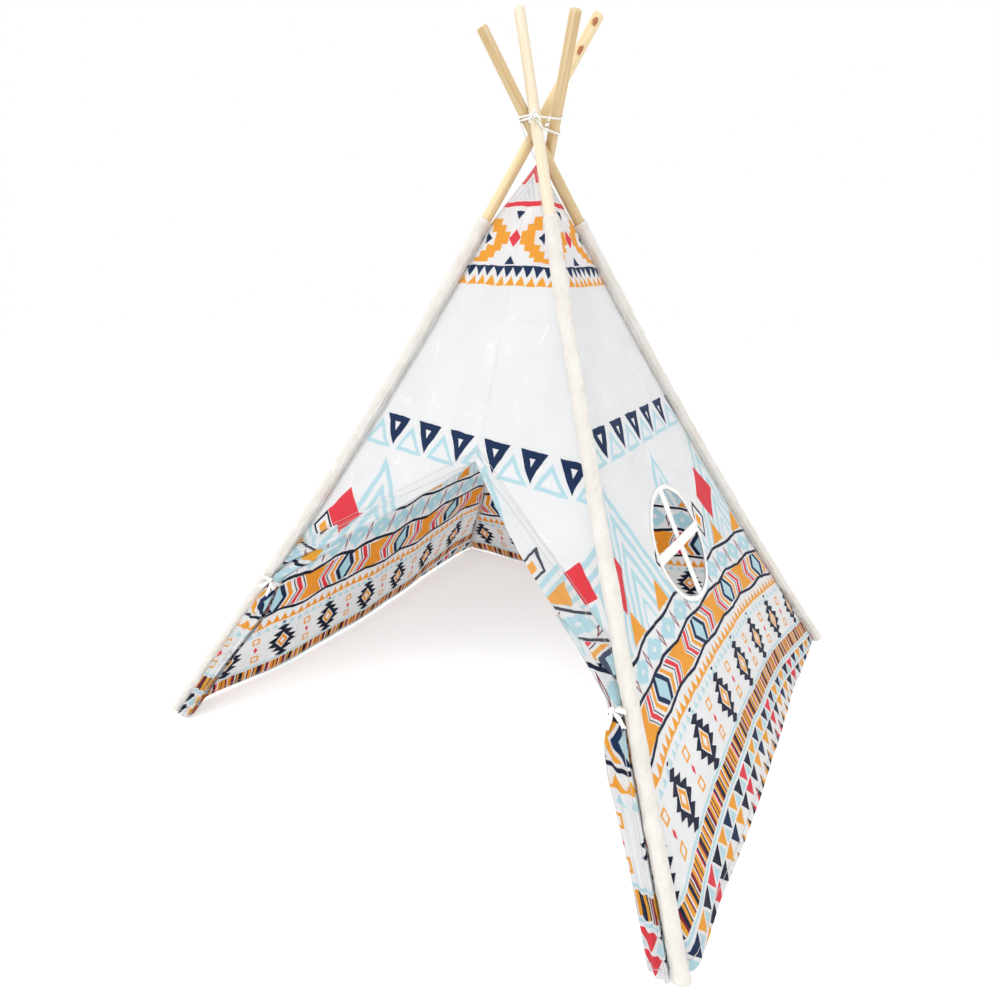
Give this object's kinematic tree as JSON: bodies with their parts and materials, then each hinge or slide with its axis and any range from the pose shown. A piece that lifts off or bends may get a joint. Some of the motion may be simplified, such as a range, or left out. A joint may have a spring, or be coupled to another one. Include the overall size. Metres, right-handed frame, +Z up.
{
  "type": "kids teepee",
  "caption": "Kids' play teepee: crossed wooden poles lashed at the top, a printed cotton cover in canvas pole sleeves, a tied-back door and a round window.",
  "frame": {"origin": "on the floor, midway between the four feet", "axes": "+Z up; the door faces -Y; the window is on the +X side"},
  "size_m": [1.2284, 1.2285, 1.481],
  "materials": {
    "pine": "planed and unvarnished",
    "aluminium": "drawn tube, satin",
    "natural_canvas": "plain weave, matte",
    "printed_cotton": "printed plain weave, matte",
    "white_cotton": "woven tape and cord, matte"
  },
  "bodies": {
    "cover": {"door_panel": "printed_cotton", "window_panel": "printed_cotton", "back_panel": "printed_cotton", "side_panel": "printed_cotton", "door_facing_left": "printed_cotton", "door_facing_right": "printed_cotton", "window_binding": "white_cotton", "window_sash": "white_cotton", "lashing_cord": "white_cotton", "lashing_knot": "white_cotton", "apex_tape": "white_cotton"},
    "pole_front_left": {"pole_front_left_lower": "pine", "pole_front_left_middle": "pine", "pole_front_left_upper": "pine", "ferrule_front_left_lower": "aluminium", "ferrule_front_left_upper": "aluminium", "sleeve_front_left": "natural_canvas"},
    "pole_front_right": {"pole_front_right_lower": "pine", "pole_front_right_middle": "pine", "pole_front_right_upper": "pine", "ferrule_front_right_lower": "aluminium", "ferrule_front_right_upper": "aluminium", "sleeve_front_right": "natural_canvas"},
    "pole_back_right": {"pole_back_right_lower": "pine", "pole_back_right_middle": "pine", "pole_back_right_upper": "pine", "ferrule_back_right_lower": "aluminium", "ferrule_back_right_upper": "aluminium", "sleeve_back_right": "natural_canvas"},
    "pole_back_left": {"pole_back_left_lower": "pine", "pole_back_left_middle": "pine", "pole_back_left_upper": "pine", "ferrule_back_left_lower": "aluminium", "ferrule_back_left_upper": "aluminium", "sleeve_back_left": "natural_canvas"},
    "flap_left": {"door_flap_left": "printed_cotton", "tie_left": "white_cotton"},
    "flap_right": {"door_flap_right": "printed_cotton", "tie_right": "white_cotton"}
  },
  "joints": [
    {"name": "fold_front_left", "type": "hinge", "parent": "cover", "child": "pole_front_left", "pos_m": [-0.00858, -0.01214, 1.29], "axis": [0.705, -0.7092, 0], "range_deg": [0, 27], "deforming": ["door_panel", "window_panel", "back_panel", "side_panel", "door_facing_left", "door_facing_right", "lashing_cord", "lashing_knot", "apex_tape", "sleeve_front_left", "sleeve_front_right", "sleeve_back_right", "sleeve_back_left"]},
    {"name": "fold_front_right", "type": "hinge", "parent": "cover", "child": "pole_front_right", "pos_m": [-0.00682, -0.06736, 1.29], "axis": [0.6597, 0.7515, 0], "range_deg": [0, 26.2]},
    {"name": "fold_back_right", "type": "hinge", "parent": "cover", "child": "pole_back_right", "pos_m": [-0.033, -0.07154, 1.29], "axis": [-0.7277, 0.6859, 0], "range_deg": [0, 29.75]},
    {"name": "fold_back_left", "type": "hinge", "parent": "cover", "child": "pole_back_left", "pos_m": [0.0341, -0.0436, 1.29], "axis": [-0.7123, -0.7018, 0], "range_deg": [0, 29.2]},
    {"name": "swing_flap_left", "type": "hinge", "parent": "pole_front_left", "child": "flap_left", "pos_m": [-0.43742, -0.43831, 0.33], "axis": [0.4117, 0.4095, 0.8141], "range_deg": [-70, 30]},
    {"name": "swing_flap_right", "type": "hinge", "parent": "pole_front_right", "child": "flap_right", "pos_m": [0.43365, -0.45227, 0.33], "axis": [0.4254, -0.3778, -0.8224], "range_deg": [-70, 30]}
  ],
  "couplings": [
    {"joint": "fold_front_right", "follows": "fold_front_left", "ratio": 0.969},
    {"joint": "fold_back_right", "follows": "fold_front_left", "ratio": 1.1},
    {"joint": "fold_back_left", "follows": "fold_front_left", "ratio": 1.0788}
  ]
}
